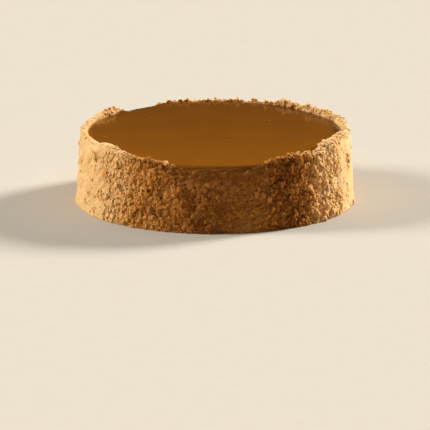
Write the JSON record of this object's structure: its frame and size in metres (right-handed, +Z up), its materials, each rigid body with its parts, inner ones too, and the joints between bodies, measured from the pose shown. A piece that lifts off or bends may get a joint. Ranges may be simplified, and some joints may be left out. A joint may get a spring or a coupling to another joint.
{
  "type": "tres leches cake",
  "caption": "Whole round tres leches cake, its side coated in golden sponge crumbs, with a smooth caramel layer set inside an uneven crumb rim.",
  "frame": {"origin": "middle of the flat underside of the cake", "axes": "+Z up; -Y is the front, where the caramel runs out over the rim; +X is to the right seen from the front"},
  "size_m": [0.2282, 0.2276, 0.0623],
  "materials": {
    "sponge_crumbs": "matte, dry and porous: pale golden sponge crumbs pressed on in a rough coat",
    "caramel": "smooth set milk caramel with a soft gloss"
  },
  "bodies": {
    "root": {"crumbed_cake": "sponge_crumbs", "caramel_top": "caramel"}
  },
  "joints": []
}
